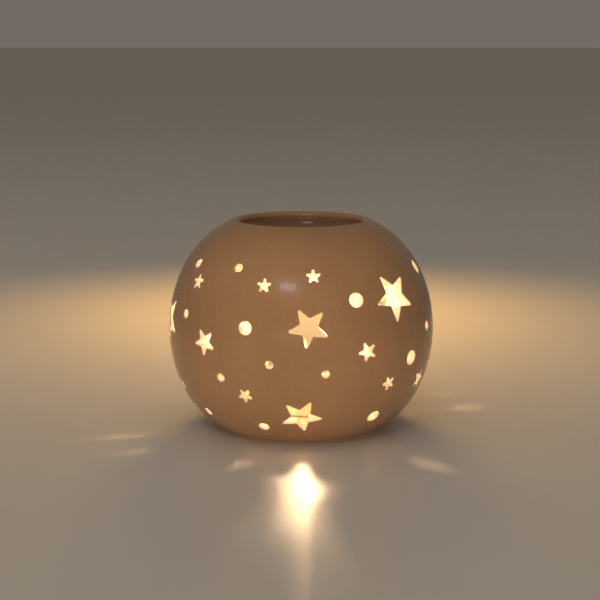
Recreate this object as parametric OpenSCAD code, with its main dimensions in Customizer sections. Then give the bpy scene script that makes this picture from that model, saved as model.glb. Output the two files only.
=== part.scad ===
// Pierced ceramic tealight holder: a round, slightly flattened globe with a shallow dish on top,
// stars and dots cut through its wall, an arched opening at the back, and a tealight inside.
// The globe stands on Z = 0 with its axis on the Z axis. The front faces -Y and the opening +Y.

/* [Globe] */
// Largest diameter of the globe
body_d = 136; // [134:1:138]
// Height of the widest ring above the table
equator_z = 51; // [50:0.5:52]
// Thickness of the ceramic wall
wall = 5; // [4:0.5:5.5]
// Radius of the gently curved side, seen in section
side_r = 71; // [70:1:73]
// Half angle that the side's arc spans
side_deg = 25; // [23:1:27]
// Radius of the shoulder's arc
shoulder_r = 52; // [51:0.5:53]
// Radius of the heel's arc
heel_r = 45; // [44:0.5:46]

/* [Dish and foot] */
// Radius of the rounded lip
lip_r = 2.5; // [2:0.5:3]
// Radius of the lip's crest from the axis
lip_crest_r = 34; // [33:0.5:35]
// Depth of the dish below the lip's crest
dish_depth = 15; // [13:0.5:16]
// Radius of the soft corner between the dish's wall and its floor
dish_corner_r = 8; // [7:0.5:9]
// Top of the inside floor above the table
floor_z = 7; // [6.5:0.5:8]
// Rounding of the foot's outer edge
foot_edge_r = 1.5; // [1:0.25:2]
// Width of the foot ring's flat face
foot_ring_w = 7; // [5:0.5:9]
// Depth of the recess inside the foot ring
foot_recess = 2; // [1.5:0.25:2.5]

/* [Opening at the back] */
// Width of the arched opening
arch_w = 56; // [50:1:58]
// Height above the table at which the arch's half circle starts
arch_spring_z = 30; // [26:1:32]

/* [Stars and dots] */
// Length of a star's inner radius as a share of its outer radius
star_waist = 0.48; // [0.4:0.01:0.55]
// Radius of the rounding at a star's points
star_tip_r = 0.9; // [0.5:0.1:1]

/* [Tealight] */
// Diameter of the aluminium cup over its rolled rim
cup_d = 38; // [37:0.5:39]
// Height of the aluminium cup
cup_h = 16; // [15:0.5:18]
// Thickness of the cup's sheet
cup_t = 0.4; // [0.3:0.1:0.5]
// Radius of the rolled rim's bead
bead_r = 0.5; // [0.4:0.1:0.7]
// Rounding of the cup's bottom edge
cup_edge_r = 1.5; // [1:0.25:2]
// Gap round the wax filling
wax_gap = 0.3; // [0.3:0.05:0.5]
// Rounding of the wax filling's bottom edge
wax_edge_r = 1.5; // [1.25:0.25:2]
// Height of the wax filling
wax_h = 12; // [10:0.5:13]
// Diameter of the wick
wick_d = 1.4; // [1.2:0.1:1.8]
// Length of wick above the wax
wick_out = 7; // [5:0.5:9]
// Diameter of the wick's steel tab
tab_d = 13; // [12:0.5:15]
// Thickness of the steel tab
tab_t = 0.3; // [0.3:0.1:0.5]
// Outer diameter of the tab's crimped neck
neck_d = 2.4; // [2.2:0.1:3]
// Height of the crimped neck above the tab
neck_h = 3; // [2:0.5:4]

/* [Hidden] */
$fn = 180;
eps = 0.01;
far = 80;
// How far an arc stands proud of its neighbour where the two are tangent, so that they cross cleanly
lap = 0.003;

// Stars, one row each: angle round the globe from the front, height, size, direction of one point
STARS = [
    [5.7, 86.4, 3.7, 90],
    [-17, 82, 3.7, 90],
    [-55, 80.2, 4.1, 95],
    [45.5, 74.4, 12.3, -97],
    [3, 63, 9.8, -97],
    [-79.5, 57.5, 13.8, 52],
    [-44, 52.5, 6.9, -96],
    [28, 50, 5, -104],
    [40.6, 32.2, 3.9, -102],
    [66.3, 29, 6, -75],
    [-25, 28, 3.9, -91],
    [0, 17.5, 10.3, -81]
];
// Dots, one row each: angle round the globe from the front, height, radius
DOTS = [
    [-62.5, 88, 2.7],
    [-32.3, 89, 2.45],
    [76, 84.5, 4],
    [24.4, 75, 3.8],
    [-58.5, 64, 2.4],
    [-23.6, 62, 3.55],
    [68.5, 56, 2.7],
    [-13, 45, 2.2],
    [53.5, 43, 3.9],
    [10, 40.5, 2.15],
    [-36, 36, 2.35],
    [-73, 24.5, 3.2],
    [38, 14.5, 3.6],
    [-54, 14, 2.6],
    [-71.5, 13, 3.2],
    [-19.3, 11, 2.9]
];
// The same pattern goes round again on the back, where the opening leaves room for it
PATTERN_TURNS = [0, 180];
// Clear width of solid wall kept beside the opening
opening_margin = 5;
// How far a cut reaches into the globe and out of it, measured square to its surface
cut_in = 12;
cut_out = 6;
// Reach of the cuts that round the lip and the foot
lip_clear = 30;
foot_clear = 6;

// Centres and joints of the section's arcs; [0] is the distance from the axis and [1] the height
globe_r = body_d / 2;
side_c = [globe_r - side_r, equator_z];
shoulder_c = side_c + (side_r - shoulder_r) * [cos(side_deg), sin(side_deg)];
heel_c = side_c + (side_r - heel_r) * [cos(side_deg), -sin(side_deg)];
shoulder_z = equator_z + side_r * sin(side_deg);
heel_z = equator_z - side_r * sin(side_deg);
lip_deg = acos((lip_crest_r - shoulder_c[0]) / (shoulder_r - lip_r));
lip_c = [lip_crest_r, shoulder_c[1] + (shoulder_r - lip_r) * sin(lip_deg)];
dish_wall_r = lip_crest_r - lip_r;
dish_corner_c = [dish_wall_r - dish_corner_r, lip_c[1]];
dish_drop = dish_depth - lip_r;
dish_floor_r = (pow(dish_corner_c[0], 2) + pow(dish_drop, 2) - pow(dish_corner_r, 2))
    / (2 * (dish_drop - dish_corner_r));
dish_floor_c = [0, lip_c[1] - dish_drop + dish_floor_r];
dish_floor_deg = atan(dish_corner_c[0] / (dish_floor_c[1] - dish_corner_c[1]));
foot_c = [heel_c[0] + sqrt(pow(heel_r - foot_edge_r, 2) - pow(heel_c[1] - foot_edge_r, 2)), foot_edge_r];
arch_r = arch_w / 2;
cup_r = cup_d / 2 - bead_r;
cup_bore_r = cup_r - cup_t;
wax_r = cup_bore_r - wax_gap;
wax_z = floor_z + cup_t;
neck_z = wax_z + tab_t;
wick_top = wax_z + wax_h + wick_out;

// Distance of the outer surface from the axis at height z
function skin_r(z) =
    z > shoulder_z ? shoulder_c[0] + sqrt(pow(shoulder_r, 2) - pow(z - shoulder_c[1], 2))
    : z < heel_z ? heel_c[0] + sqrt(pow(heel_r, 2) - pow(z - heel_c[1], 2))
    : side_c[0] + sqrt(pow(side_r, 2) - pow(z - side_c[1], 2));

// Angle that the outer surface faces above the horizontal at height z
function skin_tilt(z) =
    z > shoulder_z ? asin((z - shoulder_c[1]) / shoulder_r)
    : z < heel_z ? asin((z - heel_c[1]) / heel_r)
    : asin((z - side_c[1]) / side_r);

// True where a cut of this size, seen from the back, is clear of the arched opening
function clear_of_arch(angle, z, size) =
    let (x = skin_r(z) * sin(angle), back = -cos(angle) > 0)
    let (over = max(z - arch_spring_z, 0))
    !back || norm([x, over]) > arch_r + size + opening_margin;

// Section from the axis to the globe's three tangent arcs moved inwards by inset, above the bottom
module arcs_section(inset, bottom) {
    intersection() {
        union() {
            intersection() {
                translate(side_c) circle(side_r - inset);
                translate([0, heel_z]) square([far, shoulder_z - heel_z]);
            }
            translate(shoulder_c) circle(shoulder_r - inset + lap);
            translate(heel_c) circle(heel_r - inset + lap);
            square(heel_c);
        }
        translate([0, bottom]) square([far, 2 * far]);
    }
}

// Section of the dish's hollow up to its widest ring, moved outwards by grow
module dish_section(grow) {
    translate(dish_corner_c) circle(dish_corner_r + grow + lap);
    intersection() {
        translate(dish_floor_c) circle(dish_floor_r + grow);
        polygon([
            [0, dish_corner_c[1]],
            dish_corner_c,
            dish_corner_c + 2 * dish_depth * [sin(dish_floor_deg), -cos(dish_floor_deg)],
            [0, 0]
        ]);
    }
}

// Section of what is cut away above and inside the rounded lip
module lip_section() {
    difference() {
        polygon([
            [0, lip_c[1]],
            lip_c,
            lip_c + lip_clear * [cos(lip_deg), sin(lip_deg)],
            [0, lip_c[1] + lip_clear]
        ]);
        translate(lip_c) circle(lip_r + 2 * lap);
    }
}

// Section of what is cut away round the foot's outer edge
module foot_edge_section() {
    difference() {
        polygon([
            foot_c,
            foot_c + foot_clear * (foot_c - heel_c) / norm(foot_c - heel_c),
            foot_c + [foot_clear, -foot_clear],
            foot_c - [0, foot_clear]
        ]);
        translate(foot_c) circle(foot_edge_r + 2 * lap);
    }
}

// Section of the solid ceramic
module globe_section() {
    difference() {
        arcs_section(0, 0);
        difference() {
            arcs_section(wall, floor_z);
            dish_section(wall);
            translate([0, dish_corner_c[1]]) square([dish_wall_r + wall, far]);
        }
        dish_section(0);
        lip_section();
        foot_edge_section();
        square([foot_c[0] - foot_ring_w, foot_recess]);
    }
}

// Five-pointed star with blunted points, one of them towards the angle turn
module star_section(size, turn) {
    waist = star_waist * size;
    tip_c = size - star_tip_r;
    along = [tip_c - waist * cos(36), waist * sin(36)];
    edge_deg = atan(along[1] / along[0]) - asin(star_tip_r / norm(along));
    // Corners of one arm, which points along +X
    arm = [
        for (a = [edge_deg - 90, 0, 90 - edge_deg]) [tip_c + star_tip_r * cos(a), star_tip_r * sin(a)],
        [waist * cos(36), waist * sin(36)]
    ];
    rotate(turn) polygon([
        for (t = [0:72:288], p = arm) [p[0] * cos(t) - p[1] * sin(t), p[0] * sin(t) + p[1] * cos(t)]
    ]);
}

// Cuts its child's outline through the wall, square to the surface at this angle and height
module through_wall(angle, z) {
    rotate([0, 0, angle]) translate([0, -skin_r(z), z]) rotate([90 - skin_tilt(z), 0, 0])
        translate([0, 0, -cut_in]) linear_extrude(cut_in + cut_out) children();
}

// All the stars and dots
module pattern_cuts() {
    for (turn = PATTERN_TURNS) {
        for (s = STARS) if (clear_of_arch(s[0] + turn, s[1], s[2]))
            through_wall(s[0] + turn, s[1]) star_section(s[2], s[3]);
        for (d = DOTS) if (clear_of_arch(d[0] + turn, d[1], d[2]))
            through_wall(d[0] + turn, d[1]) circle(d[2]);
    }
}

// Outline of the arched opening, from the inside floor up
module arch_section() {
    translate([-arch_r, floor_z]) square([arch_w, arch_spring_z - floor_z]);
    translate([0, arch_spring_z]) circle(arch_r);
}

// The ceramic: shell, dish, floor and foot ring in one piece
module globe_body() {
    color("antiquewhite") difference() {
        rotate([0, 0, 90]) rotate_extrude() globe_section();
        pattern_cuts();
        rotate([90, 0, 180]) linear_extrude(far) arch_section();
    }
}

// Pressed aluminium cup with a rounded bottom edge and a rolled rim
module tealight_cup() {
    rim_z = floor_z + cup_h - bead_r;
    color("silver") rotate_extrude() {
        translate([0, floor_z]) square([cup_r - cup_edge_r, cup_t]);
        difference() {
            translate([cup_r - cup_edge_r, floor_z + cup_edge_r]) circle(cup_edge_r);
            translate([cup_r - cup_edge_r, floor_z + cup_edge_r]) circle(cup_edge_r - cup_t);
            translate([0, floor_z + cup_edge_r]) square([cup_r, cup_h]);
            translate([0, floor_z]) square([cup_r - cup_edge_r, cup_h]);
        }
        translate([cup_bore_r, floor_z + cup_edge_r]) square([cup_t, rim_z - floor_z - cup_edge_r]);
        translate([cup_r, rim_z]) circle(bead_r);
    }
}

// Wax filling, with room for the tab and the neck underneath and for the wick
module tealight_wax() {
    edge_c = [wax_r - wax_edge_r, wax_z + wax_edge_r];
    color("ivory") difference() {
        rotate_extrude() {
            translate([0, wax_z]) square([edge_c[0], wax_h]);
            translate([0, edge_c[1]]) square([wax_r, wax_h - wax_edge_r]);
            intersection() {
                translate(edge_c) circle(wax_edge_r);
                square(edge_c + [wax_edge_r, 0]);
            }
        }
        translate([0, 0, wax_z - eps]) cylinder(h = tab_t + eps, d = tab_d);
        translate([0, 0, wax_z]) cylinder(h = tab_t + neck_h, d = neck_d);
        cylinder(h = far, d = wick_d);
    }
}

// Braided wick, standing in the neck and out of the wax
module wick() {
    color("dimgray") translate([0, 0, neck_z]) cylinder(h = wick_top - neck_z, d = wick_d);
}

// Steel tab with a crimped neck round the wick
module wick_sustainer() {
    color("lightsteelblue") difference() {
        union() {
            translate([0, 0, wax_z]) cylinder(h = tab_t, d = tab_d);
            translate([0, 0, wax_z]) cylinder(h = tab_t + neck_h, d = neck_d);
        }
        translate([0, 0, neck_z]) cylinder(h = neck_h + eps, d = wick_d);
    }
}

globe_body();
tealight_cup();
tealight_wax();
wick();
wick_sustainer();
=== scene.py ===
"""Looks of the pierced ceramic tealight holder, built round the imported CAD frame.

Mesh code works in millimetres and is scaled to metres when a mesh is made. Angles named deg are
degrees above the horizontal, and angles named turn are radians round the globe from its front.
"""

import math
import random

import bpy
import numpy as np
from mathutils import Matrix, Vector
from mathutils.geometry import delaunay_2d_cdt
from mathutils.kdtree import KDTree


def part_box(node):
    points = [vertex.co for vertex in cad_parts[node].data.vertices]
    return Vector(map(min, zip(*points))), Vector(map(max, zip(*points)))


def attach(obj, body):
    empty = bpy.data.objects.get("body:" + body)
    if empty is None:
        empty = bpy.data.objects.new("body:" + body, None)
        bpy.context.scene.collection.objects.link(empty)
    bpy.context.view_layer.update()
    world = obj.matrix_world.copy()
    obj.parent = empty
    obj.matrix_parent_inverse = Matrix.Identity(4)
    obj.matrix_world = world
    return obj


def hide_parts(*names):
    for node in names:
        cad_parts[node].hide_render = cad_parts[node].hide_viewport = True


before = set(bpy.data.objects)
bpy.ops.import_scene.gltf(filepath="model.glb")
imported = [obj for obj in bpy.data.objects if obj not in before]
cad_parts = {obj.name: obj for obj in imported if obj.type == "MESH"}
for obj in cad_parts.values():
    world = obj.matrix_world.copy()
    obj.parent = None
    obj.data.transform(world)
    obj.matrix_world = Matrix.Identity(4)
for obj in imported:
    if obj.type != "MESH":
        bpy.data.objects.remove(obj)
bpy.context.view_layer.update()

MM = 0.001
SEED = 7

# The globe's section, in millimetres, as the CAD has it
GLOBE_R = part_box("globe_body")[1].x / MM
EQUATOR_Z = 51.0
WALL = 5.0
SIDE_R = 71.0
SIDE_DEG = 25.0
SHOULDER_R = 52.0
HEEL_R = 45.0
LIP_R = 2.5
LIP_CREST_R = 34.0
DISH_DEPTH = 15.0
DISH_CORNER_R = 8.0
FLOOR_Z = 7.0
FOOT_EDGE_R = 1.5
FOOT_RING_W = 7.0
FOOT_RECESS = 2.0
ARCH_R = 28.0
ARCH_TOP_Z = 58.0
STAR_WAIST = 0.48
STAR_TIP_R = 0.9

# Stars: angle round the globe from the front, height, size, direction of one point
STARS = [
    [5.7, 86.4, 3.7, 90],
    [-17, 82, 3.7, 90],
    [-55, 80.2, 4.1, 95],
    [45.5, 74.4, 12.3, -97],
    [3, 63, 9.8, -97],
    [-79.5, 57.5, 13.8, 52],
    [-44, 52.5, 6.9, -96],
    [28, 50, 5, -104],
    [40.6, 32.2, 3.9, -102],
    [66.3, 29, 6, -75],
    [-25, 28, 3.9, -91],
    [0, 17.5, 10.3, -81],
]
# Dots: angle round the globe from the front, height, radius
DOTS = [
    [-62.5, 88, 2.7],
    [-32.3, 89, 2.45],
    [76, 84.5, 4],
    [24.4, 75, 3.8],
    [-58.5, 64, 2.4],
    [-23.6, 62, 3.55],
    [68.5, 56, 2.7],
    [-13, 45, 2.2],
    [53.5, 43, 3.9],
    [10, 40.5, 2.15],
    [-36, 36, 2.35],
    [-73, 24.5, 3.2],
    [38, 14.5, 3.6],
    [-54, 14, 2.6],
    [-71.5, 13, 3.2],
    [-19.3, 11, 2.9],
]
PATTERN_TURNS = [0, 180]
OPENING_MARGIN = 5.0

# How fine the globe's mesh is, in millimetres
COLUMNS = 192
SKIN_STEP = 2.0
INSIDE_STEP = 3.2
EDGE_STEP = 0.8
EDGE_ROWS = 4
WALL_ROWS = 3
KEEP_OFF = 0.6
MERGE = 1e-4
NEWTON_STEPS = 8
TABLE_STEPS = 4001
ARCH_STEP = 1.2
# Fewest steps along a star's size, and the widest bend between two points, in degrees
STAR_STEPS = 9
BEND_STEP = 18

# Soft edges that the glaze leaves, in millimetres
EDGE_SOFT = 0.6
ARCH_SOFT = 1.1
ARCH_CORNER_R = 2.0
# Most that an edge is softened, as a share of a star's size or a dot's radius
STAR_SOFT = 0.11
DOT_SOFT = 0.2
# Radius of a star's notches, as a share of its soft edge
NOTCH_SOFT = 1.35
# Share of the soft edge by which a star or dot is cut smaller, so that it looks its own size
EDGE_SHRINK = 0.45
# Row of a soft edge at which the outside glaze starts to turn into the painted cream-white inside, which
# is painted candle light
CANDLE_LIT_FROM = 1.5


# ---------------------------------------------------------------- the globe's section

def polar(radius, deg):
    """Point at this distance and angle, as [distance from the axis, height]."""
    return np.array([radius * math.cos(math.radians(deg)), radius * math.sin(math.radians(deg))])


SIDE_C = np.array([GLOBE_R - SIDE_R, EQUATOR_Z])
SHOULDER_C = SIDE_C + polar(SIDE_R - SHOULDER_R, SIDE_DEG)
HEEL_C = SIDE_C + polar(SIDE_R - HEEL_R, -SIDE_DEG)
LIP_DEG = math.degrees(math.acos((LIP_CREST_R - SHOULDER_C[0]) / (SHOULDER_R - LIP_R)))
LIP_C = SHOULDER_C + polar(SHOULDER_R - LIP_R, LIP_DEG)
DISH_CORNER_C = np.array([LIP_CREST_R - LIP_R - DISH_CORNER_R, LIP_C[1]])
DISH_DROP = DISH_DEPTH - LIP_R
DISH_FLOOR_R = (DISH_CORNER_C[0] ** 2 + DISH_DROP ** 2 - DISH_CORNER_R ** 2) / (
    2 * (DISH_DROP - DISH_CORNER_R)
)
DISH_FLOOR_C = np.array([0, LIP_C[1] - DISH_DROP + DISH_FLOOR_R])
DISH_FLOOR_DEG = math.degrees(math.atan(DISH_CORNER_C[0] / (DISH_FLOOR_C[1] - DISH_CORNER_C[1])))
FOOT_DEG = -math.degrees(math.asin((HEEL_C[1] - FOOT_EDGE_R) / (HEEL_R - FOOT_EDGE_R)))
FOOT_C = HEEL_C + polar(HEEL_R - FOOT_EDGE_R, FOOT_DEG)
INSIDE_FOOT_DEG = -math.degrees(math.asin((HEEL_C[1] - FLOOR_Z) / (HEEL_R - WALL)))
FLOOR_R = HEEL_C[0] + (HEEL_R - WALL) * math.cos(math.radians(INSIDE_FOOT_DEG))


def arcs_for(deg):
    """Centres and radii of the outer arcs whose normals point deg above the horizontal."""
    above = deg > SIDE_DEG
    below = deg < -SIDE_DEG
    centre = np.where(above[:, None], SHOULDER_C, np.where(below[:, None], HEEL_C, SIDE_C))
    return centre, np.where(above, SHOULDER_R, np.where(below, HEEL_R, SIDE_R))


def skin_normal(turn, deg):
    """Outward normals of the skin."""
    flat = np.cos(np.radians(deg))
    return np.stack([flat * np.sin(turn), -flat * np.cos(turn), np.sin(np.radians(deg))], axis=-1)


def skin_point(turn, deg, depth):
    """Points this deep under the outer skin."""
    centre, radius = arcs_for(deg)
    r = centre[:, 0] + (radius - depth) * np.cos(np.radians(deg))
    z = centre[:, 1] + (radius - depth) * np.sin(np.radians(deg))
    return np.stack([r * np.sin(turn), -r * np.cos(turn), z], axis=-1)


def locate(points):
    """For each point: its turn, the angle of the skin's normal nearest it, and its depth."""
    r = np.hypot(points[:, 0], points[:, 1])
    z = points[:, 2]
    turn = np.arctan2(points[:, 0], -points[:, 1])
    centre, radius = arcs_for(np.degrees(np.arctan2(z - SIDE_C[1], r - SIDE_C[0])))
    deg = np.degrees(np.arctan2(z - centre[:, 1], r - centre[:, 0]))
    return turn, deg, radius - np.hypot(r - centre[:, 0], z - centre[:, 1])


def tilt_at(z):
    """Angle of the outer skin's normal at height z."""
    if z > SIDE_C[1] + SIDE_R * math.sin(math.radians(SIDE_DEG)):
        return math.degrees(math.asin((z - SHOULDER_C[1]) / SHOULDER_R))
    if z < SIDE_C[1] - SIDE_R * math.sin(math.radians(SIDE_DEG)):
        return math.degrees(math.asin((z - HEEL_C[1]) / HEEL_R))
    return math.degrees(math.asin((z - SIDE_C[1]) / SIDE_R))


# ---------------------------------------------------------------- outlines of the cuts

def rounded_outline(corners, radii, step):
    """Points and outward normals round a polygon with rounded corners, listed anticlockwise."""
    corners = np.array(corners, float)
    points, normals, bends = [], [], []
    for i, corner in enumerate(corners):
        come = corner - corners[i - 1]
        go = corners[(i + 1) % len(corners)] - corner
        a0, a1 = math.atan2(come[1], come[0]), math.atan2(go[1], go[0])
        bend = (a1 - a0 + math.pi) % (2 * math.pi) - math.pi
        side = 1 if bend > 0 else -1
        reach = radii[i] * math.tan(abs(bend) / 2)
        start = corner - reach * come / np.linalg.norm(come)
        inward = np.array([-math.sin(a0), math.cos(a0)])
        centre = start + side * radii[i] * inward
        along = math.ceil(abs(bend) * radii[i] / step)
        count = max(3, along, math.ceil(abs(bend) / math.radians(BEND_STEP)))
        arc = []
        for a in a0 + bend * np.linspace(0, 1, count + 1):
            normal = np.array([math.sin(a), -math.cos(a)])
            arc.append((centre + side * radii[i] * normal, normal))
        bends.append(arc)
    for i, arc in enumerate(bends):
        following = bends[(i + 1) % len(bends)][0]
        points += [p for p, _ in arc]
        normals += [n for _, n in arc]
        gap = following[0] - arc[-1][0]
        count = max(1, round(np.linalg.norm(gap) / step))
        for k in range(1, count):
            points.append(arc[-1][0] + gap * k / count)
            normals.append(arc[-1][1])
        if np.linalg.norm(gap) < MERGE:
            points.pop()
            normals.pop()
    return np.array(points), np.array(normals)


def star_outline(size, point_deg, soft):
    """Five-pointed star with softly rounded points and notches."""
    tip_centre = size - STAR_TIP_R
    waist = STAR_WAIST * size
    along = [tip_centre, 0] - polar(waist, 36)
    half = math.atan(-along[1] / along[0]) - math.asin(STAR_TIP_R / math.hypot(*along))
    corner = tip_centre + STAR_TIP_R / math.sin(half)
    corners, radii = [], []
    for k in range(5):
        for r, share, radius in ((corner, 0, STAR_TIP_R), (waist, 36, NOTCH_SOFT * soft)):
            corners.append(polar(r, point_deg + 72 * k + share))
            radii.append(radius)
    return rounded_outline(corners, radii, min(EDGE_STEP, size / STAR_STEPS))


def dot_outline(radius):
    """Circle."""
    around = np.linspace(0, 2 * math.pi, max(28, round(2 * math.pi * radius / EDGE_STEP)), endpoint=False)
    normals = np.stack([np.cos(around), np.sin(around)], axis=-1)
    return radius * normals, normals


class Cut:
    """A hole through the wall: an outline in a plane, and the direction that it is cut along."""

    def __init__(self, outline, origin, across, up, out, soft, reach, shrink=0.0):
        self.flat, self.flat_normals = outline[0] - shrink * outline[1], outline[1]
        self.origin, self.across, self.up, self.out = origin, across, up, out
        self.reach = reach
        self.wall_normals = -(self.flat_normals[:, :1] * across + self.flat_normals[:, 1:] * up)
        self.soft_out = np.full(len(self.flat), soft)
        self.soft_in = np.full(len(self.flat), soft)

    def ring(self, grow, depth):
        """The outline grown by grow, dropped along the cut onto the wall at this depth."""
        flat = self.flat + grow[:, None] * self.flat_normals
        points = self.origin + flat[:, :1] * self.across + flat[:, 1:] * self.up
        for _ in range(NEWTON_STEPS):
            turn, deg, here = locate(points)
            slope = skin_normal(turn, deg) @ self.out
            points = points + ((here - depth) / slope)[:, None] * self.out
        return points

    def holds(self, points, depth_soft):
        """True for the points that lie inside the cut, its soft edge included."""
        local = points - self.origin
        near = np.abs(local @ self.out) < self.reach
        p = np.stack([local @ self.across, local @ self.up], axis=-1)
        a = self.flat + depth_soft[:, None] * self.flat_normals
        near &= np.all((p > a.min(0)) & (p < a.max(0)), axis=1)
        found = np.zeros(len(points), bool)
        chosen = np.nonzero(near)[0]
        if len(chosen):
            b = np.roll(a, -1, axis=0)
            x, y = p[chosen, 0][:, None], p[chosen, 1][:, None]
            with np.errstate(divide="ignore", invalid="ignore"):
                at = a[:, 0] + (y - a[:, 1]) * (b[:, 0] - a[:, 0]) / (b[:, 1] - a[:, 1])
            crossed = ((a[:, 1] > y) != (b[:, 1] > y)) & (x < at)
            found[chosen] = crossed.sum(axis=1) % 2 == 1
        return found


def surface_cut(angle, z, outline, soft, size):
    """A star or a dot, cut square to the skin at this angle and height."""
    tilt = math.radians(tilt_at(z))
    turn = math.radians(angle)
    origin = skin_point(np.array([turn]), np.array([math.degrees(tilt)]), 0)[0]
    across = np.array([math.cos(turn), math.sin(turn), 0])
    up = np.array([-math.sin(tilt) * math.sin(turn), math.sin(tilt) * math.cos(turn), math.cos(tilt)])
    out = skin_normal(np.array([turn]), np.array([math.degrees(tilt)]))[0]
    return Cut(outline, origin, across, up, out, soft, 2 * WALL + size, EDGE_SHRINK * soft)


def clear_of_arch(angle, z, size):
    """True where a cut of this size leaves solid wall beside the opening."""
    turn = math.radians(angle)
    centre, radius = arcs_for(np.array([tilt_at(z)]))
    r = centre[0, 0] + radius[0] * math.cos(math.radians(tilt_at(z)))
    over = max(z - (ARCH_TOP_Z - ARCH_R), 0)
    return math.cos(turn) > 0 or math.hypot(r * math.sin(turn), over) > ARCH_R + size + OPENING_MARGIN


def pattern():
    """Every star and dot, front and back."""
    cuts = []
    for turn in PATTERN_TURNS:
        for angle, z, size, point in STARS:
            if clear_of_arch(angle + turn, z, size):
                soft = min(EDGE_SOFT, STAR_SOFT * size)
                cuts.append(surface_cut(angle + turn, z, star_outline(size, point, soft), soft, size))
        for angle, z, radius in DOTS:
            if clear_of_arch(angle + turn, z, radius):
                soft = min(EDGE_SOFT, DOT_SOFT * radius)
                cuts.append(surface_cut(angle + turn, z, dot_outline(radius), soft, radius))
    return cuts


def arch():
    """The opening at the back. Its sill is flush with the inside floor, so no edge shows there."""
    corners = [[ARCH_R, FLOOR_Z], [ARCH_R, ARCH_TOP_Z], [-ARCH_R, ARCH_TOP_Z], [-ARCH_R, FLOOR_Z]]
    outline = rounded_outline(corners, [ARCH_CORNER_R, ARCH_R, ARCH_R, ARCH_CORNER_R], ARCH_STEP)
    made = Cut(
        outline,
        np.array([0, GLOBE_R - 2 * WALL, 0]),
        np.array([-1.0, 0, 0]),
        np.array([0, 0, 1.0]),
        np.array([0, 1.0, 0]),
        ARCH_SOFT,
        GLOBE_R - 4 * WALL,
    )
    made.soft_in = made.soft_in * np.clip(1 + made.flat_normals[:, 1], 0, 1)
    return made


# ---------------------------------------------------------------- mesh building

class Shell:
    """Collects triangles with a normal at each of their corners."""

    def __init__(self):
        self.points, self.normals, self.marks, self.triangles = [], [], [], []
        self.count = 0

    def add(self, points, normals, triangles, marks):
        """marks: per point, how far in it is (0 outside to 1 inside), which sets how much painted candle
        light it gets, and how near an edge (0 to 1), which sets its painted edge highlight.
        """
        self.points.append(points)
        self.normals.append(normals)
        self.marks.append(np.broadcast_to(np.array(marks, float), (len(points), 2)))
        self.triangles.append(np.array(triangles, int).reshape(-1, 3) + self.count)
        self.count += len(points)

    def strip(self, rows, normals, marks, closed=True):
        """Triangles between rows of equally many points."""
        rows = np.array(rows)
        high, wide = rows.shape[:2]
        i = np.arange(high - 1)[:, None]
        j = np.arange(wide if closed else wide - 1)[None, :]
        a, b = i * wide + j, i * wide + (j + 1) % wide
        c, d = a + wide, b + wide
        triangles = np.concatenate(
            [np.stack([a, b, c], -1).reshape(-1, 3), np.stack([b, d, c], -1).reshape(-1, 3)]
        )
        spread = np.repeat(np.array(marks, float), wide, axis=0)
        self.add(rows.reshape(-1, 3), np.array(normals).reshape(-1, 3), triangles, spread)

    def lathe(self, profile, normals, mark):
        """Revolves a profile of [distance from the axis, height] points."""
        turn = 2 * math.pi * np.arange(COLUMNS) / COLUMNS
        rows = [around(turn, r, z) for r, z in profile]
        row_normals = [around(turn, r, z) for r, z in normals]
        self.strip(rows, row_normals, [mark] * len(rows))

    def build(self, name):
        """The finished object. Stops if its surface isn't closed."""
        points, normals = np.concatenate(self.points), np.concatenate(self.normals)
        marks, triangles = np.concatenate(self.marks), np.concatenate(self.triangles)
        _, first, merged = np.unique(
            np.round(points / MERGE).astype(np.int64), axis=0, return_index=True, return_inverse=True
        )
        merged = merged.reshape(-1)
        corners = merged[triangles]
        whole = (
            (corners[:, 0] != corners[:, 1])
            & (corners[:, 1] != corners[:, 2])
            & (corners[:, 2] != corners[:, 0])
        )
        triangles, corners = triangles[whole], corners[whole]
        p = points[triangles]
        facing = np.cross(p[:, 1] - p[:, 0], p[:, 2] - p[:, 0])
        flip = np.sum(facing * normals[triangles].sum(axis=1), axis=1) < 0
        triangles[flip] = triangles[flip][:, ::-1]
        corners[flip] = corners[flip][:, ::-1]
        check_closed(name, corners)
        mesh = bpy.data.meshes.new(name)
        mesh.from_pydata((points[first] * MM).tolist(), [], corners.tolist())
        mesh.shade_smooth()
        # inside sets the painted candle light and edge sets the painted edge highlight in the glaze
        for k, mark_name in enumerate(("inside", "edge")):
            mark = mesh.attributes.new(mark_name, "FLOAT", "POINT")
            mark.data.foreach_set("value", marks[first, k].astype(np.float32))
        unit = normals[triangles].reshape(-1, 3)
        unit = unit / np.linalg.norm(unit, axis=1)[:, None]
        mesh.normals_split_custom_set(unit.tolist())
        return placed(name, mesh)


def placed(name, data):
    """A new object in the scene."""
    made = bpy.data.objects.new(name, data)
    bpy.context.scene.collection.objects.link(made)
    return made


def check_closed(name, corners):
    """Every edge is used once in each direction."""
    edges = np.concatenate([corners[:, [0, 1]], corners[:, [1, 2]], corners[:, [2, 0]]])
    there = {tuple(e) for e in edges.tolist()}
    loose = [e for e in there if (e[1], e[0]) not in there]
    if loose or len(there) != len(edges):
        raise ValueError(f"{name}: {len(loose)} open edges, {len(edges) - len(there)} used twice")


def around(turn, r, z):
    """A ring at this distance from the axis and this height."""
    return np.stack([r * np.sin(turn), -r * np.cos(turn), np.full(len(turn), z)], axis=-1)


def fill(flat, loops):
    """Triangles over flat points, with the edges of these closed loops of indices kept."""
    edges = [(loop[k - 1], loop[k]) for loop in loops for k in range(len(loop))]
    verts, _, faces, origins, _, _ = delaunay_2d_cdt(
        [Vector(p) for p in flat.tolist()], edges, [], 0, 1e-10, True
    )
    if len(verts) != len(flat) or any(len(o) != 1 for o in origins):
        raise ValueError("outlines cross")
    back = np.array([o[0] for o in origins])
    return back[np.array(faces, int)]


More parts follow.
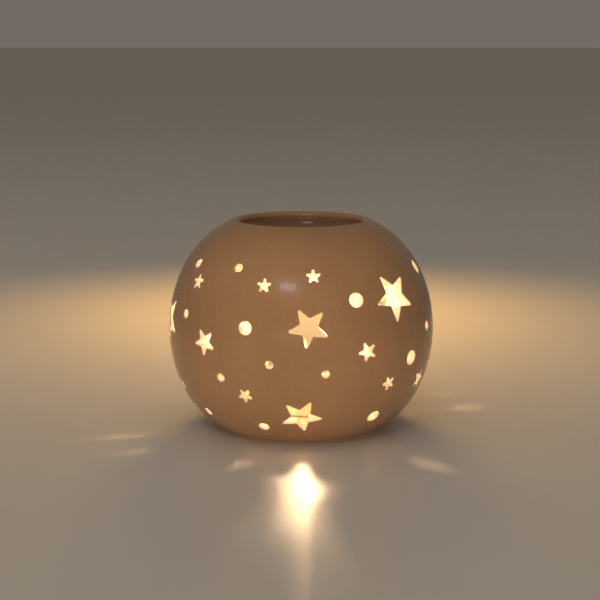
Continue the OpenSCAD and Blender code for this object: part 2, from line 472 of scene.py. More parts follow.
def band(shell, depth, top_deg, bottom_deg, cuts, openings, step, mark):
    """Meshes the skin at this depth between two rings, round the cuts.

    cuts are (cut, soft, points on its edge); an opening is (cut, soft, points) that runs out
    over the bottom ring, whose points come in their order from one end to the other.
    """
    table_deg = np.linspace(top_deg, bottom_deg, TABLE_STEPS)
    centre, radius = arcs_for(table_deg)
    table_r = centre[:, 0] + (radius - depth) * np.cos(np.radians(table_deg))
    stretch = (radius - depth) * math.radians(top_deg - bottom_deg) / (len(table_deg) - 1)
    length = np.concatenate([[0], np.cumsum(stretch[1:])])
    grade = np.concatenate([[0], np.cumsum((stretch / table_r)[1:])])

    full = 2 * math.pi * np.arange(COLUMNS) / COLUMNS
    top = skin_point(full, np.full(COLUMNS, top_deg), depth)
    bottom = skin_point(full, np.full(COLUMNS, bottom_deg), depth)
    loops, parts = [], [top]
    loops.append(np.arange(COLUMNS))
    if openings:
        edge = openings[0][2]
        half_gap = np.abs(edge[[0, -1], 0]).max() + KEEP_OFF
        solid = ~((bottom[:, 1] > 0) & (np.abs(bottom[:, 0]) < half_gap))
        turn = np.arctan2(bottom[:, 0], -bottom[:, 1])
        order = np.nonzero(solid)[0][np.argsort(turn[solid])]
        ring = bottom[order]
        rim = edge if edge[0, 0] > 0 else edge[::-1]
        parts.append(np.concatenate([rim, ring]))
    else:
        ring = bottom
        parts.append(bottom)
    loops.append(COLUMNS + np.arange(len(parts[-1])))
    count = COLUMNS + len(parts[-1])
    for _, _, edge in cuts:
        parts.append(edge)
        loops.append(count + np.arange(len(edge)))
        count += len(edge)
    fixed = np.concatenate(parts)

    rows = []
    row_count = round(length[-1] / (step * math.sqrt(0.75)))
    for i in range(1, row_count):
        at = length[-1] * i / row_count
        deg = np.interp(at, length, table_deg)
        n = round(2 * math.pi * np.interp(at, length, table_r) / step)
        turn = 2 * math.pi * (np.arange(n) + 0.5 * (i % 2)) / n
        rows.append(skin_point(turn, np.full(n, deg), depth))
    free = np.concatenate(rows)
    tree = KDTree(len(fixed))
    for k, p in enumerate(fixed):
        tree.insert(p, k)
    tree.balance()
    far = np.array([tree.find(p)[2] > KEEP_OFF * step for p in free])
    for cut, soft, _ in cuts + openings:
        far &= ~cut.holds(free, soft)
    points = np.concatenate([fixed, free[far]])

    turn, deg, _ = locate(points)
    scale = np.exp(np.interp(-deg, -table_deg, grade))
    flat = np.stack([scale * np.cos(turn), scale * np.sin(turn)], axis=-1)
    triangles = fill(flat, loops)
    triangles = triangles[~np.all(triangles < COLUMNS, axis=1)]
    middle = points[triangles].mean(axis=1)
    for cut, soft, _ in cuts + openings:
        triangles = triangles[~cut.holds(middle, soft)]
        middle = points[triangles].mean(axis=1)
    side = 1 if depth == 0 else -1
    shell.add(points, side * skin_normal(turn, deg), triangles, mark)
    return ring


def soft_edge(a, corner, b, normal_a, normal_b):
    """Rows from a round the corner to b, on parabolas."""
    rows, normals = [], []
    for t in np.linspace(0, 1, EDGE_ROWS):
        rows.append((1 - t) ** 2 * a + 2 * t * (1 - t) * corner + t ** 2 * b)
        blend = (1 - t) * normal_a + t * normal_b
        normals.append(blend / np.linalg.norm(blend, axis=1)[:, None])
    return rows, normals


def cut_rows(cut):
    """Rows of points from the outer skin through the cut to the inner one, with their normals."""
    none = np.zeros(len(cut.flat))
    outer, outer_edge = cut.ring(cut.soft_out, 0), cut.ring(none, 0)
    inner, inner_edge = cut.ring(cut.soft_in, WALL), cut.ring(none, WALL)
    turn, deg, _ = locate(outer)
    turn_in, deg_in, _ = locate(inner)
    from_b = outer_edge - cut.soft_out[:, None] * cut.out
    to_b = inner_edge + cut.soft_in[:, None] * cut.out
    rows_out, normals_out = soft_edge(
        outer, outer_edge, from_b, skin_normal(turn, deg), cut.wall_normals
    )
    rows_in, normals_in = soft_edge(
        to_b, inner_edge, inner, cut.wall_normals, -skin_normal(turn_in, deg_in)
    )
    rows = rows_out + [
        from_b + (to_b - from_b) * k / (WALL_ROWS + 1) for k in range(1, WALL_ROWS + 1)
    ] + rows_in
    normals = normals_out + [cut.wall_normals] * WALL_ROWS + normals_in
    high = len(rows)
    # Share of painted candle light (the cream-white inside) down the hole, and of the painted highlight
    # round its edge
    inside = np.clip((np.arange(high) - CANDLE_LIT_FROM) / (EDGE_ROWS - 1 - CANDLE_LIT_FROM), 0, 1)
    edge = [math.sin(math.pi * min(k / (EDGE_ROWS - 1), 1)) for k in range(high)]
    marks = np.stack([inside, edge], axis=-1)
    return rows, normals, marks


def arc_profile(centre, radius, from_deg, to_deg, step, inward=False):
    """Points and normals along an arc of a section, ends included."""
    count = max(2, math.ceil(math.radians(abs(to_deg - from_deg)) * radius / step))
    degs = np.linspace(from_deg, to_deg, count + 1)
    normals = [polar(-1 if inward else 1, d) for d in degs]
    return [centre + polar(radius, d) for d in degs], normals


def join(*stretches):
    """One profile from several (points, normals) stretches."""
    return sum((s[0] for s in stretches), []), sum((s[1] for s in stretches), [])


def flat_stretch(start, end, normal, count):
    """Straight stretch of a profile, ends included."""
    start, end = np.array(start, float), np.array(end, float)
    points = [start + (end - start) * k / count for k in range(count + 1)]
    return points, [np.array(normal, float)] * len(points)


def build_globe():
    """The ceramic globe as one closed mesh."""
    shell = Shell()
    cuts = pattern()
    opening = arch()
    outer_cuts, inner_cuts = [], []
    for cut in cuts:
        rows, normals, marks = cut_rows(cut)
        shell.strip(rows, normals, marks)
        outer_cuts.append((cut, cut.soft_out, rows[0]))
        inner_cuts.append((cut, cut.soft_in, rows[-1]))

    # The arch: its outline is closed on the outer skin, and open along the sill further in
    straight_down = -0.9999
    sill = np.nonzero(opening.flat_normals[:, 1] < straight_down)[0]
    open_end = len(opening.flat) - (len(sill) - 2)
    rows, normals, marks = cut_rows(opening)
    shell.strip(rows[:EDGE_ROWS], normals[:EDGE_ROWS], marks[:EDGE_ROWS])
    outer_cuts.append((opening, opening.soft_out, rows[0]))
    inner_rows = [r[:open_end] for r in rows[EDGE_ROWS - 1:]]
    inner_normals = [n[:open_end] for n in normals[EDGE_ROWS - 1:]]
    shell.strip(inner_rows, inner_normals, marks[EDGE_ROWS - 1:], closed=False)

    band(shell, 0, LIP_DEG, FOOT_DEG, outer_cuts, [], SKIN_STEP, (0, 0))
    crevice = crevice_deg()
    ring = band(
        shell, WALL, crevice, INSIDE_FOOT_DEG, inner_cuts,
        [(opening, opening.soft_in, inner_rows[-1])], INSIDE_STEP, (1, 0),
    )
    floor(shell, inner_rows, rows[EDGE_ROWS - 1][open_end:], ring)
    dish_and_foot(shell, crevice)
    return shell.build("glazed_globe")


def crevice_deg():
    """Angle of the inner wall's normal where it runs into the dish's underside."""
    from_corner = SHOULDER_C - DISH_CORNER_C
    a, b = SHOULDER_R - WALL, DISH_CORNER_R + WALL
    d = np.linalg.norm(from_corner)
    towards = math.degrees(math.atan2(-from_corner[1], -from_corner[0]))
    return towards - math.degrees(math.acos((a * a + d * d - b * b) / (2 * a * d)))


def floor(shell, inner_rows, sill_points, ring):
    """The flat inside floor, which runs out through the arch to its sill."""
    one_side = np.array([r[0] for r in inner_rows])
    other_side = np.array([r[-1] for r in inner_rows])
    # From one end of the sill to the other, then round the floor's edge from the nearer end
    outline = np.concatenate([one_side[::-1], sill_points[::-1], other_side])
    keep = np.concatenate([[True], np.linalg.norm(np.diff(outline, axis=0), axis=1) > MERGE])
    outline = outline[keep]
    to_first, to_last = np.linalg.norm(ring[[0, -1]] - outline[-1], axis=1)
    rim = ring if to_first < to_last else ring[::-1]
    outline = np.concatenate([outline, rim])
    grid = np.arange(-FLOOR_R, GLOBE_R, INSIDE_STEP)
    x, y = np.meshgrid(grid, grid)
    inner = np.stack([x.ravel(), y.ravel(), np.full(x.size, FLOOR_Z)], axis=-1)
    tree = KDTree(len(outline))
    for k, p in enumerate(outline):
        tree.insert(p, k)
    tree.balance()
    inner = inner[[tree.find(p)[2] > KEEP_OFF * INSIDE_STEP for p in inner]]
    flat = outline[:, :2]
    across, up, out = np.eye(3)
    area = Cut((flat, flat), np.zeros(3), across, up, out, 0, 2 * GLOBE_R)
    none = np.zeros(len(outline))
    points = np.concatenate([outline, inner[area.holds(inner, none)]])
    triangles = fill(points[:, :2], [np.arange(len(outline))])
    triangles = triangles[area.holds(points[triangles].mean(axis=1), none)]
    shell.add(points, np.tile([0, 0, 1.0], (len(points), 1)), triangles, (1, 0))


def dish_and_foot(shell, crevice):
    """Everything that is plainly turned: lip, dish, foot and the dish's underside."""
    lip_step, corner_step, dish_step, under_step, foot_step, bevel_step = 0.6, 1.0, 1.6, 2.4, 0.4, 0.3
    low = DISH_FLOOR_DEG - 90
    lip = arc_profile(LIP_C, LIP_R, LIP_DEG, 180, lip_step)
    corner = arc_profile(DISH_CORNER_C, DISH_CORNER_R, 0, low, corner_step, inward=True)
    floor_arc = arc_profile(DISH_FLOOR_C, DISH_FLOOR_R, low, -90, dish_step, inward=True)
    shell.lathe(*join(lip, corner, floor_arc), (0, 0))

    start = DISH_CORNER_C - SHOULDER_C - polar(SHOULDER_R - WALL, crevice)
    wedge = math.degrees(math.atan2(-start[1], -start[0]))
    under = arc_profile(DISH_CORNER_C, DISH_CORNER_R + WALL, wedge, low, dish_step)
    under_floor = arc_profile(DISH_FLOOR_C, DISH_FLOOR_R + WALL, low, -90, under_step)
    shell.lathe(*join(under, under_floor), (1, 0))

    inner_r = FOOT_C[0] - FOOT_RING_W
    bevel = 0.8
    ring_rows, recess_rows = 4, 12
    inner_edge = np.array([inner_r + bevel, bevel])
    recess_edge = np.array([inner_r - bevel, FOOT_RECESS - bevel])
    foot = join(
        arc_profile(FOOT_C, FOOT_EDGE_R, FOOT_DEG, -90, foot_step),
        flat_stretch([FOOT_C[0], 0], [inner_r + bevel, 0], [0, -1], ring_rows),
        arc_profile(inner_edge, bevel, -90, -180, bevel_step),
        arc_profile(recess_edge, bevel, 0, 90, bevel_step, inward=True),
        flat_stretch([inner_r - bevel, FOOT_RECESS], [0, FOOT_RECESS], [0, -1], recess_rows),
    )
    shell.lathe(*foot, (0, 0))


# ---------------------------------------------------------------- materials

class Nodes:
    """A material's node tree, with short ways to add what the materials here use."""

    def __init__(self, name):
        self.material = bpy.data.materials.new(name)
        self.material.use_nodes = True
        self.tree = self.material.node_tree
        self.shader = self.tree.nodes["Principled BSDF"]
        self.place = self.tree.nodes.new("ShaderNodeTexCoord").outputs["Object"]

    def add(self, kind, **settings):
        """A new node of this kind."""
        node = self.tree.nodes.new(kind)
        for key, value in settings.items():
            setattr(node, key, value)
        return node

    def link(self, start, end):
        self.tree.links.new(start, end)

    def feed(self, socket, value):
        """Links an output, or sets a number or colour."""
        if isinstance(value, bpy.types.NodeSocket):
            self.link(value, socket)
        else:
            socket.default_value = value

    def set(self, **values):
        """Sets the shader's own sockets, whose names have _ for a space."""
        for key, value in values.items():
            self.feed(self.shader.inputs[key.replace("_", " ")], value)

    def noise(self, scale, detail=3.0, roughness=0.5, place=None):
        """Cloudy noise of 0 to 1, over the object's coordinates unless place says otherwise."""
        node = self.add("ShaderNodeTexNoise")
        self.link(place or self.place, node.inputs["Vector"])
        node.inputs["Scale"].default_value = scale
        node.inputs["Detail"].default_value = detail
        node.inputs["Roughness"].default_value = roughness
        return node.outputs["Fac"]

    def stretched(self, x, y, z):
        """Object coordinates scaled along each axis."""
        node = self.add("ShaderNodeMapping")
        self.link(self.place, node.inputs["Vector"])
        node.inputs["Scale"].default_value = (x, y, z)
        return node.outputs["Vector"]

    def ramp(self, value, low, high, out_low=0.0, out_high=1.0):
        """Smooth step from out_low to out_high as the value goes from low to high."""
        node = self.add("ShaderNodeMapRange", clamp=True, interpolation_type="SMOOTHSTEP")
        self.link(value, node.inputs["Value"])
        node.inputs["From Min"].default_value = low
        node.inputs["From Max"].default_value = high
        node.inputs["To Min"].default_value = out_low
        node.inputs["To Max"].default_value = out_high
        return node.outputs["Result"]

    def mix(self, factor, a, b):
        node = self.add("ShaderNodeMix", data_type="RGBA", blend_type="MIX")
        self.feed(node.inputs["Factor"], factor)
        self.feed(node.inputs[6], a)
        self.feed(node.inputs[7], b)
        return node.outputs[2]

    def maths(self, operation, a, b):
        node = self.add("ShaderNodeMath", operation=operation)
        self.feed(node.inputs[0], a)
        self.feed(node.inputs[1], b)
        return node.outputs[0]

    def mark(self, name):
        """A value that the mesh carries at its points."""
        return self.add("ShaderNodeAttribute", attribute_name=name).outputs["Fac"]

    def axis(self, letter):
        node = self.add("ShaderNodeSeparateXYZ")
        self.link(self.place, node.inputs[0])
        return node.outputs[letter]

    def from_axis(self):
        """Distance from the vertical axis, in metres."""
        node = self.add("ShaderNodeVectorMath", operation="MULTIPLY")
        self.link(self.place, node.inputs[0])
        node.inputs[1].default_value = (1, 1, 0)
        length = self.add("ShaderNodeVectorMath", operation="LENGTH")
        self.link(node.outputs[0], length.inputs[0])
        return length.outputs["Value"]

    def bump(self, height, distance, strength, over=None):
        node = self.add("ShaderNodeBump")
        self.link(height, node.inputs["Height"])
        node.inputs["Distance"].default_value = distance
        node.inputs["Strength"].default_value = strength
        if over is not None:
            self.link(over, node.inputs["Normal"])
        return node.outputs["Normal"]


def srgb(r, g, b):
    """Linear colour from an sRGB one of 0 to 255."""
    def linear(c):
        c = c / 255
        return c / 12.92 if c <= 0.04045 else ((c + 0.055) / 1.055) ** 2.4
    return (linear(r), linear(g), linear(b), 1.0)


def glaze_material():
    """Glossy warm taupe glaze with bare clay on the foot ring. Inside the chamber and down the holes it is
    painted cream-white, which is painted candle light, and the rounded hole edges carry a painted
    highlight.
    """
    m = Nodes("glazed_ceramic")
    cloud = m.ramp(m.noise(22, 2.0, 0.5), 0.3, 0.7)
    fleck = m.ramp(m.noise(420, 3.0, 0.6), 0.42, 0.72)
    outside = m.mix(cloud, srgb(147, 109, 74), srgb(156, 117, 82))
    outside = m.mix(m.maths("MULTIPLY", fleck, 0.35), outside, srgb(138, 101, 67))
    # Painted highlight: the holes' rounded edges are painted a lighter warm tone, standing in for the
    # candle-lit rim
    outside = m.mix(m.maths("MULTIPLY", m.mark("edge"), 0.35), outside, srgb(190, 148, 104))
    # Painted candle light: the inner surfaces and hole walls get a cream-white copy of the glaze, as if
    # lit by the flame
    inside = m.mix(cloud, srgb(240, 231, 214), srgb(232, 221, 200))
    glaze = m.mix(m.mark("inside"), outside, inside)
    grit = m.noise(900, 4.0, 0.7)
    clay = m.mix(grit, srgb(205, 184, 152), srgb(226, 209, 182))
    height = m.axis("Z")
    wobble = m.maths("MULTIPLY", m.noise(160, 2.0), 0.0001)
    bare = m.ramp(m.maths("SUBTRACT", height, wobble), 0.00002, 0.00012, 1.0, 0.0)
    m.set(Base_Color=m.mix(bare, glaze, clay))
    gloss = m.ramp(grit, 0.3, 0.7, 0.22, 0.3)
    m.set(Roughness=m.maths("ADD", gloss, m.maths("MULTIPLY", bare, 0.5)))
    m.set(IOR=1.5, Coat_Weight=0.3, Coat_Roughness=0.06, Subsurface_Weight=0.06)
    m.set(Subsurface_Radius=(0.9, 0.5, 0.25), Subsurface_Scale=0.003)
    waves = m.bump(m.noise(30, 1.0, 0.4), 0.0006, 0.2)
    m.set(Normal=m.bump(m.maths("MULTIPLY", grit, bare), 0.0002, 0.6, waves))
    return m.material


def aluminium_material():
    """Thin pressed aluminium with fine drawing lines and soft dents."""
    m = Nodes("cup_aluminium")
    lines = m.noise(1.0, 2.0, 0.5, place=m.stretched(900, 900, 60))
    dull = m.ramp(m.noise(110, 3.0), 0.35, 0.7)
    m.set(Base_Color=m.mix(dull, srgb(214, 214, 216), srgb(190, 190, 194)))
    m.set(Metallic=1.0, Roughness=m.maths("ADD", m.maths("MULTIPLY", lines, 0.16), 0.2))
    dents = m.bump(m.noise(130, 1.0), 0.0005, 0.5)
    m.set(Normal=m.bump(lines, 0.00004, 0.5, dents))
    return m.material


def wax_material():
    """Paraffin, clear and wet round the wick and cloudy towards the cup."""
    m = Nodes("candle_wax")
    ragged = m.maths("MULTIPLY", m.noise(140, 3.0), 0.004)
    pool = m.ramp(m.maths("ADD", m.from_axis(), ragged), 0.0145, 0.0175, 1.0, 0.0)
    cloud = m.mix(m.noise(320, 3.0), srgb(243, 238, 224), srgb(232, 225, 205))
    m.set(Base_Color=m.mix(m.maths("MULTIPLY", pool, 0.6), cloud, srgb(236, 214, 166)))
    m.set(Roughness=m.ramp(pool, 0.0, 1.0, 0.45, 0.06))
    m.set(IOR=1.44, Subsurface_Weight=0.35, Subsurface_Radius=(1.0, 0.75, 0.5), Subsurface_Scale=0.004)
    dry = m.maths("SUBTRACT", 1.0, pool)
    m.set(Normal=m.bump(m.maths("MULTIPLY", m.noise(500, 3.0), dry), 0.00025, 0.6))
    return m.material


def wick_material(base_z, tip_z):
    """Waxed cotton braid, charred black above the pool, with a glowing end."""
    m = Nodes("wick_cotton")
    height = m.axis("Z")
    span = tip_z - base_z
    char = m.ramp(height, base_z + 0.45 * span, base_z + 0.7 * span)
    ember = m.ramp(height, base_z + 0.93 * span, tip_z)
    fibre = m.noise(1.0, 3.0, 0.6, place=m.stretched(9000, 9000, 1500))
    cotton = m.mix(fibre, srgb(214, 200, 170), srgb(182, 165, 132))
    soot = m.mix(fibre, srgb(20, 17, 15), srgb(46, 38, 33))
    m.set(Base_Color=m.mix(char, cotton, soot), Roughness=m.ramp(char, 0, 1, 0.6, 0.9))
    m.set(Emission_Color=srgb(255, 96, 22), Emission_Strength=m.maths("MULTIPLY", ember, 6.0))
    m.set(Normal=m.bump(fibre, 0.00008, 0.8))
    return m.material


def steel_material():
    """Tinned steel tab with brushed lines."""
    m = Nodes("tab_steel")
    lines = m.noise(1.0, 2.0, 0.6, place=m.stretched(200, 4000, 200))
    spot = m.ramp(m.noise(700, 3.0), 0.5, 0.75)
    m.set(Base_Color=m.mix(spot, srgb(188, 188, 190), srgb(150, 146, 140)))
    m.set(Metallic=1.0, Roughness=m.maths("ADD", m.maths("MULTIPLY", lines, 0.2), 0.25))
    m.set(Normal=m.bump(lines, 0.00002, 0.5))
    return m.material


def flame_material(base_z, tip_z):
    """A candle flame: blue at its root, bright in the middle and amber at its tip."""
    m = Nodes("flame_glow")
    flicker = m.maths("MULTIPLY", m.noise(180, 1.0), 0.003)
    height = m.ramp(m.maths("ADD", m.axis("Z"), flicker), base_z + 0.0015, tip_z + 0.0015)
    ramp = m.add("ShaderNodeValToRGB")
    m.link(height, ramp.inputs["Fac"])
    stops = ramp.color_ramp.elements
    stops[0].position, stops[0].color = 0.0, srgb(60, 90, 220)
    stops[1].position, stops[1].color = 1.0, srgb(255, 150, 50)
    middle = [(0.12, srgb(150, 110, 90)), (0.3, srgb(255, 205, 120)), (0.6, srgb(255, 228, 160))]
    for position, colour in middle:
        stops.new(position).color = colour
    power = m.ramp(height, 0.03, 0.3, 0.4, 9.0)
    m.set(Base_Color=(0, 0, 0, 1), Roughness=1.0, Specular_IOR_Level=0.0)
    m.set(Emission_Color=ramp.outputs["Color"], Emission_Strength=power)
    m.set(Alpha=m.ramp(height, 0.0, 0.25, 0.25, 0.95))
    return m.material


def floor_material():
    """Plain pale studio floor with a faint sheen."""
    m = Nodes("pale_floor")
    tone = m.noise(6, 3.0)
    m.set(Base_Color=m.mix(tone, srgb(214, 206, 196), srgb(220, 213, 204)))
    m.set(Roughness=m.ramp(m.noise(45, 2.0), 0.3, 0.7, 0.36, 0.44), Specular_IOR_Level=0.3)
    return m.material


# ---------------------------------------------------------------- the tealight

PLEATS = 60
CUP_LOW, CUP_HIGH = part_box("tealight_cup")
WAX_LOW, WAX_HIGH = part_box("tealight_wax")
WICK_LOW, WICK_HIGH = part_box("wick")
TAB_LOW, TAB_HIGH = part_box("wick_sustainer")
TAB_THICK = 0.0003
NECK_R = 0.0012
# Height of the hollow that the tab's neck leaves in the wax
NECK_TOP = 0.0033


def turned(name, profile, columns, wobble):
    """A closed lathe mesh in metres. The profile's first and last points are on the axis.

    wobble gives how far out and up each point moves, from its angle, radius and height.
    """
    verts, faces = [], []
    rings = []
    for k, (r, z) in enumerate(profile):
        if r < 1e-9:
            rings.append([len(verts)])
            verts.append((0, 0, z))
            continue
        ring = []
        for j in range(columns):
            a = 2 * math.pi * j / columns
            dr, dz = wobble(a, r, z)
            ring.append(len(verts))
            verts.append(((r + dr) * math.cos(a), (r + dr) * math.sin(a), z + dz))
        rings.append(ring)
    for low, high in zip(rings, rings[1:]):
        for j in range(columns):
            k = (j + 1) % columns
            if len(low) == 1:
                faces.append((low[0], high[k], high[j]))
            elif len(high) == 1:
                faces.append((low[j], low[k], high[0]))
            else:
                faces.append((low[j], low[k], high[k], high[j]))
    return mesh_object(name, verts, faces)


def mesh_object(name, verts, faces):
    """A smooth object from points and faces."""
    mesh = bpy.data.meshes.new(name)
    mesh.from_pydata(verts, [], faces)
    mesh.shade_smooth()
    return placed(name, mesh)


def tube_faces(first, rows, sides):
    """Faces of a closed tube whose points start at index first, in rows of this many sides."""
    faces = []
    for i in range(rows):
        for j in range(sides):
            a, b = first + i * sides + j, first + i * sides + (j + 1) % sides
            faces.append((a, b, b + sides, a + sides))
    last = first + rows * sides
    faces.append(tuple(first + j for j in reversed(range(sides))))
    faces.append(tuple(last + j for j in range(sides)))
    return faces


def arc(r, z, radius, from_deg, to_deg, count):
    """Points of a profile along an arc."""
    degs = [from_deg + (to_deg - from_deg) * k / count for k in range(count + 1)]
    return [(r + radius * math.cos(math.radians(d)), z + radius * math.sin(math.radians(d))) for d in degs]


def build_cup():
    """The pressed cup: pressed rings in its bottom, fine pleats up its wall and a rolled rim."""
    low, high = CUP_LOW.z, CUP_HIGH.z
    bead = 0.0005
    edge = 0.0015
    sheet = 0.0003
    dimple, groove = 0.0003, 0.0002
    wall_rows = 14
    wall_r = CUP_HIGH.x - bead
    base_r = wall_r - edge
    rim_z = high - bead
    bottom = [(0, low + dimple), (0.3 * base_r, low + dimple), (0.34 * base_r, low)]
    bottom += [(0.8 * base_r, low), (0.83 * base_r, low + groove), (0.92 * base_r, low + groove)]
    bottom += [(0.95 * base_r, low)]
    outer = bottom + arc(base_r, low + edge, edge, -90, 0, 6)
    wall_z = [low + edge + (rim_z - low - edge) * k / wall_rows for k in range(1, wall_rows)]
    outer += [(wall_r, z) for z in wall_z]
    rim = arc(wall_r, rim_z, bead * 0.98, -70, 200, 12)
    inner_r = wall_r - sheet
    inner = [(inner_r, z) for z in reversed(wall_z)]
    inner += arc(base_r, low + edge, edge - sheet, 0, -90, 6)
    inner += [(r, z + sheet) for r, z in reversed(bottom)]

    def pleats(a, r, z):
        """Soft pleats that fade out at the bottom and under the rim."""
        share = (z - low) / (high - low)
        fade = max(0.0, math.sin(math.pi * min(max((share - 0.08) / 0.86, 0), 1)))
        on_wall = 1.0 if r > base_r else 0.0
        depth = 0.00007 + 0.00004 * math.sin(5 * a + 1.3)
        return -on_wall * fade * depth * (1 + math.sin(PLEATS * a)), 0

    return turned("aluminium_cup", outer + rim + inner, 4 * PLEATS, pleats)


def build_wax():
    """The wax: a wet pool with a small rise at the wick and at the cup's wall."""
    low, high = WAX_LOW.z, WAX_HIGH.z
    radius = WAX_HIGH.x
    edge = 0.0015
    tab_r = TAB_HIGH.x
    tab_top = low + TAB_THICK
    neck_top = low + NECK_TOP
    wick_r = WICK_HIGH.x
    profile = [(0, neck_top), (NECK_R, neck_top), (NECK_R, tab_top), (tab_r, tab_top), (tab_r, low)]
    profile += arc(radius - edge, low + edge, edge, -90, 0, 5)
    rim_drop = 0.0004
    side_rows, top_rows = 5, 40
    profile += [(radius, low + edge + (high - low - edge) * k / side_rows) for k in range(1, side_rows)]
    for k in range(top_rows + 1):
        r = radius - (radius - wick_r * 1.2) * k / top_rows
        wall_rise = math.exp(-(radius - r) / 0.0011)
        wick_rise = math.exp(-(r - wick_r) / 0.0009)
        profile.append((r, high - rim_drop * (1 - max(wall_rise, wick_rise) ** 1.2)))
    profile.append((0, high))

    def uneven(a, r, z):
        """The unmelted edge isn't quite even."""
        on_top = 1.0 if z > high - 0.001 else 0.0
        ragged = max(0.0, (r - 0.75 * radius) / radius)
        return 0, -on_top * ragged * 0.0005 * (1 + math.sin(7 * a) * math.sin(3 * a + 0.7))

    return turned("wax_pool", profile, 144, uneven)


def wick_line(t):
    """Centre of the wick at share t of its height: straight in its neck, then curling over."""
    bend = max(0.0, (t - 0.62) / 0.38)
    height = WICK_LOW.z + 0.0003 + (WICK_HIGH.z - WICK_LOW.z - 0.0008) * t
    return Vector((0.0016 * bend ** 2, -0.0007 * bend ** 2, height))


def build_wick():
    """Three strands braided round each other, frayed at the top."""
    rng = random.Random(SEED)
    verts, faces = [], []
    steps, sides = 150, 10
    twists = 7.5
    wick_r = WICK_HIGH.x
    strand_r = wick_r * 0.5
    for strand in range(3):
        first = len(verts)
        for i in range(steps + 1):
            t = i / steps
            phase = 2 * math.pi * (strand / 3 + twists * t)
            swing = wick_r * 0.46
            centre = wick_line(t) + Vector((swing * math.cos(phase), swing * math.sin(phase), 0))
            thin = strand_r * (1 - 0.35 * max(0, t - 0.7) / 0.3)
            thin *= math.sqrt(max(0.02, min(1, (1 - t) / 0.03, (t + 0.002) / 0.01)))
            rough = 1 + (0.12 if t > 0.65 else 0.04) * rng.uniform(-1, 1)
            for j in range(sides):
                a = 2 * math.pi * j / sides
                verts.append(centre + thin * rough * Vector((math.cos(a), math.sin(a), 0)))
        faces += tube_faces(first, steps, sides)
    return mesh_object("braided_wick", [tuple(v) for v in verts], faces)


def build_sustainer():
    """The steel tab with a crimped neck round the wick."""
    low = TAB_LOW.z
    thick = TAB_THICK
    tab_r = TAB_HIGH.x
    neck_r, bore_r = NECK_R, WICK_HIGH.x
    top = TAB_HIGH.z
    profile = [(0, low)] + [(tab_r - 0.0001, low), (tab_r, low + 0.0001), (tab_r, low + thick - 0.0001)]
    profile += [(tab_r - 0.0001, low + thick), (neck_r + 0.0008, low + thick)]
    profile += arc(neck_r + 0.0004, low + thick + 0.0004, 0.0004, -90, -180, 4)
    profile += [(neck_r, low + thick + (top - low - thick) * k / 8) for k in range(2, 8)]
    profile += [(neck_r - 0.0001, top), (bore_r + 0.0001, top), (bore_r, top - 0.0001)]
    profile += [(bore_r, low + thick), (0, low + thick)]

    def crimp(a, r, z):
        """Four pinches that hold the wick."""
        middle = (z - low - 0.0011) / (top - low - 0.0011)
        if r > neck_r * 1.01 or not 0 < middle < 0.98:
            return 0, 0
        return -0.00012 * math.sin(math.pi * middle) * (1 + math.cos(4 * a)), 0

    return turned("wick_tab", profile, 64, crimp)


FLAME_LOW = WICK_HIGH.z - 0.0035
FLAME_HIGH = WICK_HIGH.z + 0.018


def build_flame():
    """A teardrop flame that stands round the wick's tip and leans a little."""
    verts = []
    rows, sides = 40, 32
    widest, end_r = 0.0041, 0.00004
    for i in range(rows + 1):
        t = i / rows
        belly = math.sin(math.pi * t ** 0.62)
        width = widest * (belly ** 0.85) * (1 - 0.25 * t) if 0 < t < 1 else end_r
        lean = Vector((0.0012 + 0.0009 * t * t, -0.0005, 0))
        z = FLAME_LOW + (FLAME_HIGH - FLAME_LOW) * t
        for j in range(sides):
            a = 2 * math.pi * j / sides
            verts.append((lean.x + width * math.cos(a), lean.y + width * math.sin(a), z))
    return mesh_object("flame", verts, tube_faces(0, rows, sides))


# ---------------------------------------------------------------- camera, floor and lights

CAMERA_PLACE = Vector((-0.0006, -0.750, 0.198))
CAMERA_PITCH = 10.08
CAMERA_LENS = 88.5
CANDLE_WATTS = 2.0
CANDLE_COLOUR = (1.0, 0.68, 0.36)
CANDLE_SOFT = 0.004
WORLD_COLOUR = (1.0, 0.88, 0.75)
WORLD_STRENGTH = 0.17
FLOOR_RADIUS = 30
SENSOR_WIDTH = 36.0


def aim(thing, target):
    """Turns a light or camera towards a point."""
    thing.rotation_mode = "QUATERNION"
    thing.rotation_quaternion = (Vector(target) - thing.location).to_track_quat("-Z", "Y")


def make_camera():
    """The camera in front of the globe, a little above its rim and tilted down."""
    data = bpy.data.cameras.new("camera")
    data.lens = CAMERA_LENS
    data.sensor_width = SENSOR_WIDTH
    camera = placed("camera", data)
    camera.location = CAMERA_PLACE
    camera.rotation_euler = (math.radians(90 - CAMERA_PITCH), 0, 0)
    bpy.context.scene.camera = camera


def area_light(name, place, target, size, watts, colour, shines_back=False, spread=180):
    """A soft rectangular studio light. It shows in glossy surfaces only if shines_back is set."""
    data = bpy.data.lights.new(name, "AREA")
    data.shape = "RECTANGLE"
    data.size, data.size_y = size
    data.energy = watts
    data.color = colour
    data.spread = math.radians(spread)
    light = placed(name, data)
    light.location = place
    aim(light, target)
    light.visible_camera = False
    light.visible_glossy = shines_back


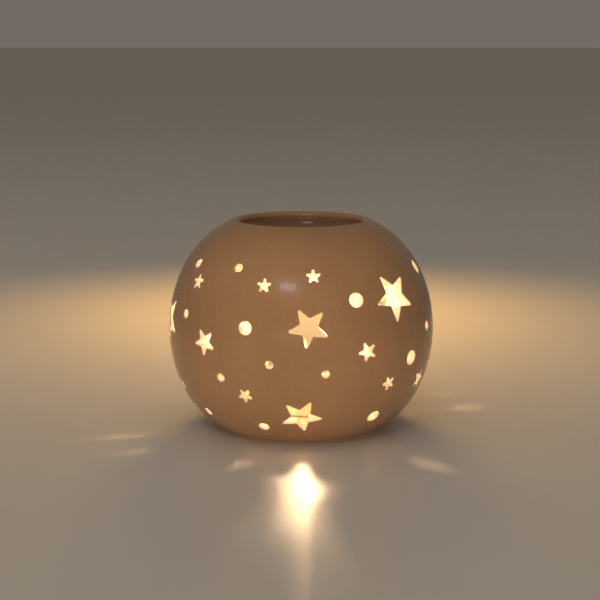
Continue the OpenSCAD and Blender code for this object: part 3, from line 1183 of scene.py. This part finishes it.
def studio_lights():
    """Soft light from low in front and overhead, a small cool window, and a glow behind the globe."""
    area_light(
        "low_front_fill", place=(-0.35, -2.4, 0.14), target=(0, 0, 0.05),
        size=(3.2, 0.28), watts=9.5, colour=(1.0, 0.86, 0.72), spread=60,
    )
    area_light(
        "overhead_softbox", place=(-0.3, -0.2, 1.6), target=(0, 0.1, 0),
        size=(2.4, 2.4), watts=5, colour=(1.0, 0.92, 0.82),
    )
    area_light(
        "window", place=(-0.284, -1.136, 1.09), target=(-0.006, -0.061, 0.082),
        size=(0.34, 0.2), watts=1.2, colour=(0.8, 0.93, 1.0), shines_back=True,
    )
    area_light(
        "warm_back_glow", place=(0, 0.36, 0.26), target=(0, 0.26, 0),
        size=(0.14, 0.14), watts=0.52, colour=(1.0, 0.57, 0.16), spread=120,
    )


def candle_light():
    """The flame's light, which moves with the candle."""
    data = bpy.data.lights.new("candle_light", "POINT")
    data.energy = CANDLE_WATTS
    data.color = CANDLE_COLOUR
    data.shadow_soft_size = CANDLE_SOFT
    light = placed("candle_light", data)
    light.location = (0.0015, -0.0005, (FLAME_LOW + FLAME_HIGH) / 2)
    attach(light, "candle")


def make_world():
    """Dim, even, warm studio light from all round."""
    world = bpy.data.worlds.new("studio")
    world.use_nodes = True
    bpy.context.scene.world = world
    background = world.node_tree.nodes["Background"]
    background.inputs["Color"].default_value = (*WORLD_COLOUR, 1.0)
    background.inputs["Strength"].default_value = WORLD_STRENGTH


def make_floor():
    """A wide pale floor under the foot ring."""
    bpy.ops.mesh.primitive_circle_add(
        vertices=96, radius=FLOOR_RADIUS, fill_type="NGON", location=(0, 0, 0)
    )
    ground = bpy.context.object
    ground.name = "floor"
    ground.data.materials.append(floor_material())


def dress(piece, body, slot, material, *nodes):
    """Puts a finished piece in its body and material, in place of its CAD nodes. slot is not used."""
    piece.data.materials.append(material)
    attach(piece, body)
    if nodes:
        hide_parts(*nodes)


make_camera()
make_floor()
make_world()
studio_lights()
candle_light()

dress(build_globe(), "globe", "glazed_ceramic", glaze_material(), "globe_body")
dress(build_cup(), "cup", "cup_aluminium", aluminium_material(), "tealight_cup")
dress(build_wax(), "candle", "candle_wax", wax_material(), "tealight_wax")
dress(build_wick(), "candle", "wick_cotton", wick_material(WICK_LOW.z, WICK_HIGH.z), "wick")
dress(build_sustainer(), "candle", "tab_steel", steel_material(), "wick_sustainer")
dress(build_flame(), "candle", None, flame_material(FLAME_LOW, FLAME_HIGH))

bpy.context.scene.view_settings.view_transform = "Standard"
